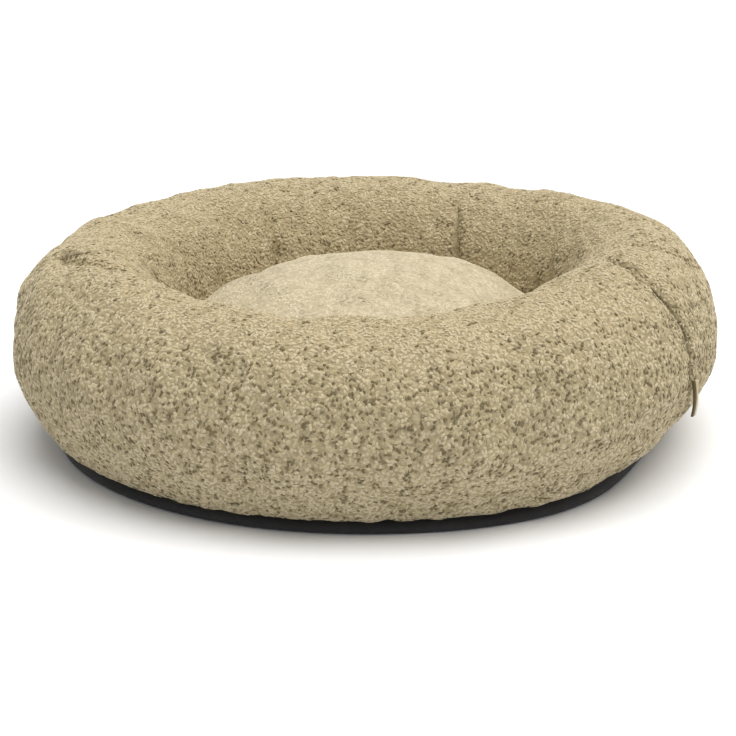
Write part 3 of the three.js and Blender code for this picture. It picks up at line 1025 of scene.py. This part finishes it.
@dataclass
class Bolster:
    """The filled ring: a tube of looped-pile cloth, closed by one cross seam.

    The first of its folds is that seam, and its creases are narrower folds that the solid doesn't
    have. The seam gapes at places given as degrees round the tube's section, each with its reach.
    """

    plan: BedPlan
    upper_roundness: float = 1.97
    outer_lower_roundness: float = 1.65
    inner_lower_roundness: float = 2.2
    columns: int = 330
    rows: int = 104
    coarse_columns: int = 192
    coarse_rows: int = 64
    lumps: float = 1.6 * MM
    lump_width: float = 95 * MM
    ripples: float = 0.5 * MM
    ripple_width: float = 30 * MM
    puckers: float = 1.3 * MM
    pucker_start: float = 4 * MM
    pucker_reach: float = 16 * MM
    gathers: float = 0.7 * MM
    pile_full_height: float = 45 * MM
    tab_zone: tuple[float, float] = (70 * MM, 120 * MM)
    tab_zone_width: float = 14 * MM
    seam_held: float = 9 * MM
    seam_slit: float = 1.8 * MM
    seam_slit_depth: float = 5.0 * MM
    seam_closed: float = 0.6 * MM
    seam_open: float = 2.2 * MM
    # painted shade in the seam's slit: its least strength along the seam, and where it fades out
    seam_tint: float = 0.35
    seam_shade: tuple[float, float] = (1.2 * MM, 4.5 * MM)
    seam_loop_size: float = 0.72
    seam_small_loops: tuple[float, float] = (3 * MM, 8 * MM)
    seam_gapes: tuple[tuple[float, float], ...] = ((66, 9), (37, 7))
    seam_density: float = 4.5
    fold_density: float = 0.8
    ground: tuple[Colour, Colour] = ((0.31, 0.255, 0.15), (0.5, 0.42, 0.26))
    pile_start: float = 0.004
    pile_end: float = 0.70
    folds: tuple[Fold, ...] = (
        Fold((-33, -33), (-10, 235), 7 * MM, 7 * MM),
        Fold((-41, -43), (10, 110), 34 * MM, -4 * MM),
        Fold((-24, -22), (40, 120), 28 * MM, -2.5 * MM),
        Fold((-16, -7), (98, 55), 11 * MM, 6 * MM),
        Fold((189, 216), (72, 108), 12 * MM, 7 * MM),
        Fold((205, 225), (78, 84), 30 * MM, -4 * MM),
        Fold((120, 121), (135, 175), 13 * MM, 4.5 * MM),
        Fold((96, 96), (145, 180), 13 * MM, 4 * MM),
        Fold((66, 61), (120, 175), 13 * MM, 5 * MM),
    )
    creases: tuple[Fold, ...] = (
        Fold((190, 215), (73, 107), 6 * MM, 6 * MM),
        Fold((-15, -8), (94, 58), 5 * MM, 4 * MM),
        Fold((66, 62), (122, 172), 5 * MM, 3 * MM),
        Fold((120, 121), (137, 173), 5 * MM, 2.5 * MM),
    )
    # top, under and creased paint light and shade into both orders: paler on top and underneath, darker
    # in creases; inner in the paleness order is painted shade in the well
    fleck_order: ToneOrder = ToneOrder(0.6, 1.1, 0.6, 1.6, 0.8, 0.5, -1.8)
    pale_order: ToneOrder = ToneOrder(1.0, 0.6, 0.4, 1.4, -1.0, 1.6, -1.0)
    curls: Curls = Curls()
    shift: np.ndarray = field(default_factory=lambda: np.zeros(3))
    swell_beside_tab: float = 0.0

    def section(self, shares: np.ndarray) -> tuple[np.ndarray, np.ndarray]:
        """The tube's plain section at shares of the way round it, from the lip outwards and over.

        Rounded quarters join the lip, the outermost line, the top, the innermost line and the inner
        foot, and straight runs close the outline along the sole. The outline is then read at even
        steps of its own length.

        Args:
            shares: shares of the outline's length.

        Returns:
            The radius and the height at each share.
        """
        plan = self.plan
        part = np.linspace(0, 1, 200, endpoint=False)
        outermost = plan.tube_centre_radius + plan.tube_half_width
        innermost = plan.tube_centre_radius - plan.tube_half_width
        lip = plan.seam_radius + plan.cloth_overlap
        centre, middle = plan.tube_centre_radius, plan.bulge_height
        top = middle + plan.tube_rise
        quarters = (
            (lip, outermost, plan.lip_height, 1 - part, self.outer_lower_roundness),
            (centre, outermost, top, part, self.upper_roundness),
            (centre, innermost, top, 1 - part, self.upper_roundness),
            (plan.inner_foot_radius, innermost, plan.floor, part, self.inner_lower_roundness),
        )
        runs = []
        for root, side, level, way, roundness in quarters:
            along, up = plan.rounded_quarter(way, roundness)
            runs.append((root + (side - root) * along, middle + (level - middle) * up))
        foot = plan.foot_radius - plan.clearance - plan.cloth_overlap
        rim = plan.seam_radius - plan.rim_width - 3 * plan.clearance
        corners_radius = [plan.inner_foot_radius, foot, foot, rim, lip]
        corners_height = [plan.floor, plan.floor, plan.swell_height, plan.lip_height, plan.lip_height]
        runs.append((np.array(corners_radius), np.array(corners_height)))
        radius = np.concatenate([run[0] for run in runs])
        height = np.concatenate([run[1] for run in runs])
        length = np.concatenate([[0], np.cumsum(np.hypot(np.diff(radius), np.diff(height)))])
        length = length / length[-1]
        return np.interp(shares, length, radius), np.interp(shares, length, height)

    def fold_distance(self, fold: Fold, angle: np.ndarray, around: np.ndarray) -> np.ndarray:
        """How far along the cloth a place lies from a fold's line.

        The cloth is laid flat: ring degrees count as arcs of the tube's centre circle and tube degrees
        as arcs of its half width. The distance is to the nearest point of the straight line.

        Args:
            fold: the fold.
            angle: angles round the ring, in radians.
            around: angles round the tube's section, in degrees.

        Returns:
            The distances in metres.
        """
        ring_scale = math.radians(self.plan.tube_centre_radius)
        tube_scale = math.radians(self.plan.tube_half_width)
        across = (np.mod(np.degrees(angle) - fold.ring[0] + 180, 360) - 180) * ring_scale
        along = (around - fold.tube[0]) * tube_scale
        line = ((fold.ring[1] - fold.ring[0]) * ring_scale, (fold.tube[1] - fold.tube[0]) * tube_scale)
        share = (across * line[0] + along * line[1]) / (line[0] ** 2 + line[1] ** 2)
        nearest = np.clip(share, 0, 1)
        return np.hypot(across - nearest * line[0], along - nearest * line[1])

    def turns(self, count: int) -> np.ndarray:
        """Shares of a full turn for the net's columns, closer together at the cross seam and creases.

        The density is 1 plus a bell at each fold that runs steeply across, and the columns stand at
        even steps of its sum.

        Args:
            count: how many columns.

        Returns:
            The shares, rising from 0.
        """
        marks = np.linspace(0, 1, 4001)
        density = np.ones_like(marks)
        for fold in self.folds + self.creases:
            if fold.depth > 0 and abs(fold.ring[1] - fold.ring[0]) < 15:
                reach = max(math.degrees(fold.width / self.plan.tube_centre_radius) * 1.6, 2.0)
                gain = self.seam_density if fold is self.folds[0] else self.fold_density
                density += gain * self.plan.bell(marks * FULL_TURN, sum(fold.ring) / 2, reach)
        total = np.concatenate([[0], np.cumsum((density[1:] + density[:-1]) / 2)])
        return np.interp(np.arange(count) / count, total / total[-1], marks)

    def net(self, columns: int, rows: int) -> tuple[ClothNet, np.ndarray]:
        """The ring's plain form with its folds, as the section carried round the bed.

        The section is scaled in height by the height waves, drawn towards the tube's centre by the
        folds, turned by the seam's lean, scaled from the bed's axis by the radius waves, and lifted
        where the seam over the sole is drawn up.

        Args:
            columns: how many columns the net has.
            rows: how many rows.

        Returns:
            The net, and each point's distance from the line of the cross seam.
        """
        plan = self.plan
        turns = self.turns(columns)
        angle = turns[:, None] * FULL_TURN
        radius, plain = self.section(np.arange(rows) / rows)
        raised = np.maximum(plain - plan.lip_height, 0)
        height = plain + raised * (plan.wander(plan.height_waves, angle) - 1)
        out = np.broadcast_to(radius - plan.tube_centre_radius, height.shape)
        up = height - plan.bulge_height
        around = np.mod(np.degrees(np.arctan2(up, out)) + 90, 360) - 90
        folds = self.folds + self.creases
        away = [self.fold_distance(fold, angle, around) for fold in folds]
        depth = self.seam_slit_depth * np.exp(-((away[0] / self.seam_slit) ** 2))
        for fold, distance in zip(folds, away, strict=True):
            depth += fold.depth * np.exp(-((distance / fold.width) ** 2))
        free = smooth_step(plain, plan.lip_height, 4 * plan.seam_height)
        shrink = 1 - free * depth / np.hypot(out, up)
        leaned = angle + free * plan.lean(angle, around)
        drawn, rise = plan.draw(leaned, radius, plain)
        reach = plan.tube_centre_radius + out * shrink - drawn
        reach = reach * plan.wander(plan.radius_waves, leaned)
        level = plan.bulge_height + up * shrink + rise
        points = np.stack([reach * np.cos(leaned), reach * np.sin(leaned), level], -1)
        return ClothNet(points + self.shift, turns, True), away[0]

    def find_shift(self) -> None:
        """Sets the shift that brings the plan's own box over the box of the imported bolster."""
        net, _ = self.net(self.columns, self.rows)
        low, high = (np.array(corner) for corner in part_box("bolster"))
        flat = net.points.reshape(-1, 3)
        self.shift = ((low + high) - (flat.min(0) + flat.max(0))) / 2 * np.array([1, 1, 0])

    def skin(self) -> tuple[ClothNet, np.ndarray]:
        """The ground cloth of the ring, stuffed, lumpy, and puckered beside its seam.

        Returns:
            The fine net of the skin, and each point's distance from the line of the cross seam.
        """
        plan = self.plan
        net, seam = self.net(self.columns, self.rows)
        coarse, coarse_seam = self.net(self.coarse_columns, self.coarse_rows)
        held = (coarse.points[..., 2] < 2 * plan.seam_height) | (coarse_seam < self.seam_held)
        swelled = Stuffing(slack=0.015).swell(coarse, held)
        swelled = np.where(held, 0, swelled - swelled.mean(0))
        across = np.broadcast_to(np.arange(self.rows) / self.rows, net.shape)
        turn = np.broadcast_to(net.turns[:, None], net.shape)
        swell = coarse.read(swelled, turn, across)
        LOG.info("bolster swell %.1f to %.1f mm", swell.min() / MM, swell.max() / MM)
        height = net.points[..., 2]
        free = smooth_step(height, plan.lip_height, 3 * plan.lip_height)
        lump = self.lumps * clouds(net.points, self.lump_width, seed=11)
        lump += self.ripples * clouds(net.points, self.ripple_width, seed=12)
        beside = np.exp(-seam / self.pucker_reach) * (1 - np.exp(-((seam / self.pucker_start) ** 2)))
        along_seam = np.stack([turn * 2, across * 30, turn * 0], -1)
        pucker = self.puckers * clouds(along_seam, 1.2, seed=13) * beside
        near_lip = 1 - smooth_step(height, plan.lip_height, 5 * plan.lip_height)
        around_bed = np.stack([turn * 120, across * 3, turn * 0], -1)
        gather = self.gathers * clouds(around_bed, 1.3, seed=14) * near_lip * (height > plan.lip_height)
        inset = plan.pile_depth * smooth_step(height, plan.lip_height, self.pile_full_height)
        offset = free * (swell + lump + pucker) + gather - inset
        low, high = self.tab_zone
        zone = (seam < self.tab_zone_width) & (height > low) & (height < high) & (across < 0.5)
        self.swell_beside_tab = max(float(offset[zone].mean()) + plan.pile_depth, 0.0)
        return net.moved(offset), seam

    def gape(self, points: np.ndarray) -> np.ndarray:
        """How far the cross seam gapes at places round the tube's section.

        Args:
            points: the places.

        Returns:
            Shares from 0 where the pile closes over the seam to 1 where it shows as a dark line of
            painted shade.
        """
        around = self.around(points)
        return sum(np.exp(-(((around - middle) / reach) ** 2)) for middle, reach in self.seam_gapes)

    def around(self, points: np.ndarray) -> np.ndarray:
        """Angles round the tube's section, in degrees from -90 under its outer side, of places."""
        place = points - self.shift
        out = np.hypot(place[..., 0], place[..., 1]) - self.plan.tube_centre_radius
        angle = np.degrees(np.arctan2(place[..., 2] - self.plan.bulge_height, out))
        return np.mod(angle + 90, 360) - 90

    def creased(self, points: np.ndarray) -> np.ndarray:
        """How near places lie to a sharp crease: 1 on its line, and less beside it as a bell."""
        place = points - self.shift
        angle = np.arctan2(place[:, 1], place[:, 0])
        around = self.around(points)
        away = [self.fold_distance(fold, angle, around) / (1.4 * fold.width) for fold in self.creases]
        return np.exp(-(np.min(away, 0) ** 2))

    def sort_loops(
        self, points: np.ndarray, normals: np.ndarray, rng: np.random.Generator
    ) -> np.ndarray:
        """Gives each loop one of the yarn tones.

        The dark flecks are the lowest in one order, where small clumps count more than soft patches.
        The rest is shared out by rank in the other order, where the patches count more. On top the
        loops come out paler, as painted light from above; under the ring paler, as painted light from
        the floor; and in the creases darker, as painted shade. The inner wall has fewer flecks, but
        less of the palest yarn as painted shade in the well.

        Args:
            points: where the loops stand.
            normals: the skin's normals there.
            rng: the source of the random draws.

        Returns:
            The number of each loop's tone.
        """
        chances = rng.normal(size=(2, len(points)))
        place = points - self.shift
        inward = -(place[:, :2] * normals[:, :2]).sum(-1) / np.hypot(place[:, 0], place[:, 1])
        shares = {
            "patches": 0.5 * clouds(points, 26 * MM, seed=15) + clouds(points, 12 * MM, seed=16),
            "clumps": clouds(points, 8 * MM, seed=17),
            # painted light from above: loops that face up come out paler
            "top": smooth_step(normals[:, 2], 0.45, 0.9),
            # the inner wall: fewer flecks, and less pale as painted shade in the well
            "inner": smooth_step(inward, 0.2, 0.7),
            # painted light from the floor: loops that face down come out paler
            "under": smooth_step(-normals[:, 2], 0.0, 0.45),
            # painted shade: loops in the creases come out darker
            "creased": self.creased(points),
        }
        order = np.argsort(self.fleck_order.weigh(shares | {"chance": chances[0]}))
        others = order[round(YarnTone.OLIVE.share * len(points)):]
        paleness = self.pale_order.weigh(shares | {"chance": chances[1]})[others]
        rank = np.argsort(np.argsort(-paleness)) / len(others)
        parts = np.array([tone.share for tone in YarnTone][:-1])
        kind = np.full(len(points), len(YarnTone) - 1)
        kind[others] = np.searchsorted(np.cumsum(parts / parts.sum())[:-1], rank, side="right")
        return kind

    def dressed_skin(self, net: ClothNet, seam: np.ndarray) -> bpy.types.Object:
        """The ground cloth as a piece, with painted shade in the seam's slit.

        Args:
            net: the skin.
            seam: each point's distance from the line of the cross seam.

        Returns:
            The piece.
        """
        # painted shade in the seam's slit: strongest where the seam gapes, fading out from its line
        tint = self.seam_tint + (1 - self.seam_tint) * self.gape(net.points)
        painted_seam_shade = np.minimum(tint, 1) * (1 - smooth_step(seam, *self.seam_shade))
        skin = net_piece("bolster_skin", net, 1 - painted_seam_shade)
        ground = GroundFinish("bolster ground cloth", *self.ground)
        skin.data.materials.append(ground.material())
        return skin

    def build(self) -> list[bpy.types.Object]:
        """Makes and dresses the skin and its four tones of pile.

        Returns:
            The pieces.
        """
        net, seam = self.skin()
        pieces = [self.dressed_skin(net, seam)]
        rng = np.random.default_rng(2101)
        turn, across = self.curls.scatter(net, self.pile_start, self.pile_end, rng)
        points, normals, along = net.frames(turn, across)
        away = net.read(seam, turn, across)
        keep = away > self.seam_closed + (self.seam_open - self.seam_closed) * self.gape(points)
        points, normals, along, away = points[keep], normals[keep], along[keep], away[keep]
        kind = self.sort_loops(points, normals, rng)
        size = np.array([tone.size for tone in YarnTone])[kind]
        far = smooth_step(away, *self.seam_small_loops)
        size = size * (self.seam_loop_size + (1 - self.seam_loop_size) * far)
        shapes = self.curls.shapes(points, normals, along, rng, size)
        tones = rng.uniform(0, 1, len(points))
        for number, tone in enumerate(YarnTone):
            chosen = kind == number
            name = tone.name.lower()
            pile = self.curls.piece("bolster_pile_" + name, shapes[chosen], tones[chosen])
            pile.data.materials.append(YarnFinish(name + " yarn", *tone.colours).material())
            pieces.append(pile)
        for piece in pieces:
            settle(piece, "bolster")
        return pieces


@dataclass
class SeatCushion:
    """The round domed cushion that fills the well, in the same cloth brushed smoother and paler.

    Its mottle is a list of shares, widths and seeds of clouds of a paler and a darker tone.
    """

    plan: BedPlan
    shift: np.ndarray
    gap: float = 1.4 * MM
    edge_height: float = 114 * MM
    crown_height: float = 198 * MM
    foot_radius: float = 190 * MM
    dome_power: float = 1.6
    lower_roundness: float = 2.6
    unevenness: float = 16 * MM
    columns: int = 200
    rows: int = 84
    coarse_columns: int = 96
    coarse_rows: int = 44
    lumps: float = 1.5 * MM
    lump_width: float = 110 * MM
    ripples: float = 0.6 * MM
    ripple_width: float = 40 * MM
    ground: tuple[Colour, Colour] = ((0.45, 0.391, 0.266), (0.58, 0.509, 0.361))
    yarn: tuple[Colour, Colour] = ((0.41, 0.354, 0.238), (0.64, 0.565, 0.406))
    knot_height: float = 0.25 * MM
    fleck_strength: float = 0.08
    pile_start: float = 0.5
    mottle: tuple[tuple[float, float, int], ...] = (
        (0.28, 60 * MM, 25),
        (0.36, 24 * MM, 23),
        (0.3, 12 * MM, 24),
    )
    mottle_middle: float = 0.55
    chance: float = 0.03
    curls: Curls = Curls(
        pitch=4.9 * MM,
        length=(7.5 * MM, 10.5 * MM),
        rise=(-0.02 * MM, 0.14 * MM),
        radius=(2.4 * MM, 3.1 * MM),
        flatness=0.12,
    )

    def section(self, shares: np.ndarray) -> tuple[np.ndarray, np.ndarray]:
        """The cushion's section from the middle of its foot, up its side and over to the crown.

        Over the dome, the radius goes as the sine of a quarter turn and the rise as a power of its
        cosine.

        Args:
            shares: shares of the section's length.

        Returns:
            The radius and the height at each share.
        """
        plan = self.plan
        part = np.linspace(0, 1, 300)
        edge = plan.tube_centre_radius - plan.tube_half_width - self.gap
        along, up = plan.rounded_quarter(1 - part, self.lower_roundness)
        side = self.foot_radius + (edge - self.foot_radius) * along
        side_height = self.edge_height + (plan.floor - self.edge_height) * up
        turn = (1 - part) * math.pi / 2
        dome = (self.crown_height - self.edge_height) * np.abs(np.cos(turn)) ** self.dome_power
        radius = np.concatenate([[0], side, edge * np.sin(turn)])
        height = np.concatenate([[plan.floor], side_height, self.edge_height + dome])
        length = np.concatenate([[0], np.cumsum(np.hypot(np.diff(radius), np.diff(height)))])
        length = length / length[-1]
        return np.interp(shares, length, radius), np.interp(shares, length, height)

    def net(self, columns: int, rows: int) -> ClothNet:
        """The cushion's plain form: its section turned, following the ring's plan, with a soft crown.

        Above its edge the height gains the unevenness times share squared times (1 - share) of the
        radius, times two and three waves round.

        Args:
            columns: how many columns the net has.
            rows: how many rows.

        Returns:
            The net.
        """
        plan = self.plan
        turns = np.arange(columns) / columns
        angle = turns[:, None] * FULL_TURN
        radius, height = self.section(np.linspace(0, 1, rows))
        share = radius / (plan.tube_centre_radius - plan.tube_half_width)
        crown = np.where(height > self.edge_height, share**2 * (1 - share), 0)
        uneven = self.unevenness * crown * (np.cos(2 * angle + 0.8) + 0.7 * np.sin(3 * angle))
        reach = radius * plan.wander(plan.radius_waves, angle)
        points = np.stack([reach * np.cos(angle), reach * np.sin(angle), height + uneven], -1)
        return ClothNet(points + self.shift, turns, False)

    def skin(self) -> ClothNet:
        """The ground cloth of the cushion, stuffed and a little lumpy."""
        net = self.net(self.columns, self.rows)
        coarse = self.net(self.coarse_columns, self.coarse_rows)
        held = coarse.points[..., 2] < 0.6 * self.edge_height
        swelled = Stuffing(slack=0.012, cap=3 * MM).swell(coarse, held)
        swelled = np.where(held, 0, swelled - swelled.mean(0))
        across = np.broadcast_to(np.linspace(0, 1, self.rows), net.shape)
        turn = np.broadcast_to(net.turns[:, None], net.shape)
        swell = coarse.read(swelled, turn, across)
        height = net.points[..., 2]
        free = smooth_step(height, 0.5 * self.edge_height, 1.1 * self.edge_height)
        lump = self.lumps * clouds(net.points, self.lump_width, seed=21)
        lump += self.ripples * clouds(net.points, self.ripple_width, seed=22)
        inset = self.plan.pile_depth * smooth_step(height, 0.6 * self.edge_height, self.edge_height)
        LOG.info("cushion swell %.1f to %.1f mm", swell.min() / MM, swell.max() / MM)
        return net.moved(free * (swell + lump) - inset)

    def build(self) -> list[bpy.types.Object]:
        """Makes and dresses the skin and its pile.

        Returns:
            The pieces.
        """
        net = self.skin()
        skin = net_piece("cushion_skin", net)
        ground = GroundFinish("cushion ground cloth", *self.ground, knot_height=self.knot_height)
        skin.data.materials.append(ground.material())
        rng = np.random.default_rng(2202)
        turn, across = self.curls.scatter(net, self.pile_start, 1.0, rng)
        points, normals, along = net.frames(turn, across)
        shapes = self.curls.shapes(points, normals, along, rng)
        tones = self.mottle_middle + self.chance * rng.normal(size=len(points))
        tones += sum(share * clouds(points, width, seed) for share, width, seed in self.mottle)
        pile = self.curls.piece("cushion_pile", shapes, np.clip(tones, 0, 1))
        finish = YarnFinish("brushed cushion yarn", *self.yarn, fleck_strength=self.fleck_strength)
        pile.data.materials.append(finish.material())
        for piece in (skin, pile):
            settle(piece, "seat_cushion")
        return [skin, pile]


@dataclass
class Sole:
    """The black cloth base: a shallow dish whose rim turns up to the bolster's lower edge."""

    plan: BedPlan
    shift: np.ndarray
    columns: int = 320
    edge_steps: int = 9
    flat_steps: int = 12
    cut_radius: float = 362 * MM

    def outline(self) -> tuple[np.ndarray, np.ndarray]:
        """The sole's section from the middle of its underside, round its rim, to its middle on top.

        The edge is two quarters of an ellipse, out from the foot to the swell and in again to the
        seam. The inside follows the bolster's underside.

        Returns:
            The radius and the height of each point.
        """
        plan = self.plan
        spread = np.linspace(0, plan.foot_radius, self.flat_steps)
        turn = np.linspace(-math.pi / 2, math.pi / 2, self.edge_steps)
        root = np.where(turn < 0, plan.foot_radius, plan.seam_radius)
        span = np.where(turn < 0, plan.swell_height, plan.seam_height - plan.swell_height)
        edge_radius = root + (plan.swell_radius - root) * np.cos(turn)
        edge_height = plan.swell_height + span * np.sin(turn)
        inner = np.linspace(plan.foot_radius - plan.cloth_overlap, 0, self.flat_steps)
        rim = [plan.seam_radius - plan.rim_width, plan.foot_radius]
        rim_height = [plan.seam_height, plan.swell_height]
        flat = 0 * inner + plan.sole_thickness
        radius = np.concatenate([spread[:-1], edge_radius, rim, inner])
        return radius, np.concatenate([0 * spread[:-1], edge_height, rim_height, flat])

    def build(self) -> list[bpy.types.Object]:
        """Makes and dresses the sole.

        Returns:
            The one piece.
        """
        plan = self.plan
        radius, height = self.outline()
        turns = np.arange(self.columns) / self.columns
        angle = turns[:, None] * FULL_TURN
        drawn, rise = plan.draw(angle, radius, height)
        reach = (radius - drawn) * plan.wander(plan.radius_waves, angle)
        points = np.stack([reach * np.cos(angle), reach * np.sin(angle), height + rise], -1)
        net = ClothNet(points + self.shift, turns, False)
        sole = net_piece("sole_cloth", net)
        sole.data.materials.append(SoleFinish().material())
        side = 2 * self.cut_radius
        area = math.pi * self.cut_radius**2
        settle(sole, "sole")
        return [sole]


@dataclass(frozen=True)
class TabEnd:
    """One end of the tab: its height, and the turn from the seam and stand-off of its two corners."""

    height: float
    turn: tuple[float, float]
    stand_off: tuple[float, float]


@dataclass
class SideTab:
    """The folded tab: a short tape caught in the cross seam, laid back over the pile."""

    bolster: Bolster
    width: float = 9 * MM
    caught: float = 3 * MM
    layer: float = 0.8 * MM
    gap: float = 0.4 * MM
    bow: float = 2.5 * MM
    low: TabEnd = TabEnd(76 * MM, (0.0, 1.3), (4 * MM, 5 * MM))
    high: TabEnd = TabEnd(114 * MM, (-0.4, 0.9), (1.4 * MM, 5 * MM))
    rows: int = 26
    steps: int = 18
    bend_steps: int = 7

    def edge(self, net: ClothNet, end: TabEnd, reach: np.ndarray, lift: np.ndarray) -> np.ndarray:
        """Places along one end of the tape, on straight lines from its root to its free edge.

        Args:
            net: the bolster's plain form, without the slit of the seam.
            end: the end.
            reach: how far out each place lies, 0 at the root and 1 at the free edge.
            lift: how far each place lies over the corners, by rows and places.

        Returns:
            The places, by rows, places and axes.
        """
        bolster = self.bolster
        shares = np.linspace(0, 0.5, 400)
        _, heights = bolster.section(shares)
        top = np.argmax(heights)
        across = np.full(2, np.interp(end.height, heights[:top], shares[:top]))
        turn = (bolster.folds[0].ring[0] + np.array(end.turn)) / 360
        points, normals, _ = net.frames(turn, across)
        stand_off = np.array(end.stand_off) + bolster.swell_beside_tab
        corners = points + normals * stand_off[:, None]
        along = corners[0] + (corners[1] - corners[0]) * reach[:, None]
        outward = normals[0] + (normals[1] - normals[0]) * reach[:, None]
        return along + outward * lift[..., None]

    def build(self) -> list[bpy.types.Object]:
        """Makes and dresses the tab.

        Returns:
            The one piece.
        """
        thick = 2 * self.layer + self.gap
        out = np.linspace(0, 1, self.steps)
        turn = np.linspace(-math.pi / 2, math.pi / 2, self.bend_steps)[1:-1]
        fold = 1 - thick / 2 / self.width

        def layer_line(away: float) -> tuple[np.ndarray, np.ndarray]:
            """A line at a distance from the tape's middle: out, round the fold, and back."""
            bend = fold + away / self.width * np.cos(turn)
            reach = np.concatenate([out * fold, bend, out[::-1] * fold])
            rise = np.concatenate([0 * out - away, away * np.sin(turn), 0 * out + away])
            return reach, rise + thick / 2

        outer, inner = layer_line(thick / 2), layer_line(self.gap / 2)
        reach = np.concatenate([outer[0], inner[0][::-1]])
        rise = np.concatenate([outer[1], inner[1][::-1]])
        count = len(outer[0])
        upwards = np.linspace(0, 1, self.rows)[:, None]
        lift = rise + self.bow * 4 * upwards * (1 - upwards)
        bolster = self.bolster
        net, _ = replace(bolster, seam_slit_depth=0.0).net(bolster.columns, bolster.rows)
        ends = [self.edge(net, end, reach, lift) for end in (self.low, self.high)]
        places = ends[0] + (ends[1] - ends[0]) * upwards[..., None]
        order = np.arange(places.shape[0] * places.shape[1]).reshape(places.shape[:2])
        over = np.roll(order, -1, 1)
        sides = np.stack([order[:-1], over[:-1], over[1:], order[1:]], -1).reshape(-1, 4)
        pair = np.arange(count - 1)
        back = 2 * count - 1 - pair
        cap = np.stack([pair, back, back - 1, pair + 1], -1)
        top = cap[:, ::-1] + (self.rows - 1) * 2 * count
        quads = np.concatenate([sides, cap, top])
        tones = np.broadcast_to(reach, places.shape[:2]).ravel()
        none = np.zeros((0, 3), int)
        tab = make_piece("side_tab_tape", places.reshape(-1, 3), quads, none, None, tones)
        tab.data.materials.append(TapeFinish().material())
        settle(tab, "side_tab")
        return [tab]


@dataclass(frozen=True)
class Studio:
    """A white floor, soft light from above and all round, and the camera."""

    image_side: float = 736
    centre_pixel: tuple[float, float] = (366, 358.15)
    target: Colour = (-0.9 * MM, 0.1 * MM, 80 * MM)
    elevation: float = 17.26
    distance: float = 2603 * MM
    lens: float = 111.06
    sensor: float = 36.0
    far_clip: float = 200.0
    floor_side: float = 60.0
    floor_colour: Colour = (0.885, 0.9, 0.93)
    world_colour: Colour = (0.98, 0.985, 1.0)
    world_strength: float = 0.46
    key_colour: Colour = (1.0, 0.972, 0.925)
    key_turn: float = 68.0
    key_height: float = 77.0
    key_spread: float = 62.0
    key_strength: float = 3.2

    def camera(self) -> None:
        """Places the camera at the photograph's angle, with its frame shifted as there."""
        data = bpy.data.cameras.new("camera")
        data.lens = self.lens
        data.sensor_width = self.sensor
        data.shift_x = (self.image_side / 2 - self.centre_pixel[0]) / self.image_side
        data.shift_y = (self.centre_pixel[1] - self.image_side / 2) / self.image_side
        data.clip_end = self.far_clip
        camera = bpy.data.objects.new("camera", data)
        tilt = math.radians(self.elevation)
        back = Vector((0, -math.cos(tilt), math.sin(tilt)))
        camera.location = Vector(self.target) + back * self.distance
        camera.rotation_euler = (math.pi / 2 - tilt, 0, 0)
        bpy.context.scene.collection.objects.link(camera)
        bpy.context.scene.camera = camera

    def floor(self) -> None:
        """Lays a wide white floor under the bed."""
        half = self.floor_side / 2
        corners = np.array([[-half, -half, 0], [half, -half, 0], [half, half, 0], [-half, half, 0]])
        floor = make_piece("floor", corners, np.array([[0, 1, 2, 3]]), np.zeros((0, 3), int))
        white = {"Base Color": rgba(self.floor_colour), "Roughness": 0.85, "Specular IOR Level": 0.1}
        floor.data.materials.append(Dye("white floor", white).material)

    def lights(self) -> None:
        """Sets an even white surround and one broad key light, high up on the right."""
        scene = bpy.context.scene
        world = bpy.data.worlds.new("white surround")
        world.use_nodes = True
        background = next(n for n in world.node_tree.nodes if n.type == "BACKGROUND")
        background.inputs["Color"].default_value = rgba(self.world_colour)
        background.inputs["Strength"].default_value = self.world_strength
        scene.world = world
        data = bpy.data.lights.new("key", "SUN")
        data.angle = math.radians(self.key_spread)
        data.energy = self.key_strength
        data.color = self.key_colour
        key = bpy.data.objects.new("key", data)
        key.rotation_euler = (math.radians(90 - self.key_height), 0, math.radians(self.key_turn))
        scene.collection.objects.link(key)

    def build(self) -> None:
        """Sets up plain display colours, the camera, the floor and the lights."""
        bpy.context.scene.view_settings.view_transform = "Standard"
        bpy.context.scene.view_settings.look = "None"
        self.camera()
        self.floor()
        self.lights()


def main() -> None:
    """Builds the studio and the bed's pieces in order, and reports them."""
    logging.basicConfig(level=logging.INFO, format="%(name)s: %(message)s")
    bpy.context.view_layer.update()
    Studio().build()
    plan = BedPlan()
    bolster = Bolster(plan)
    bolster.find_shift()
    parts = [bolster, SeatCushion(plan, bolster.shift), Sole(plan, bolster.shift), SideTab(bolster)]
    for part in parts:
        for piece in part.build():
            LOG.info("%s: %d faces", piece.name, len(piece.data.polygons))


if __name__ == "__main__":
    main()
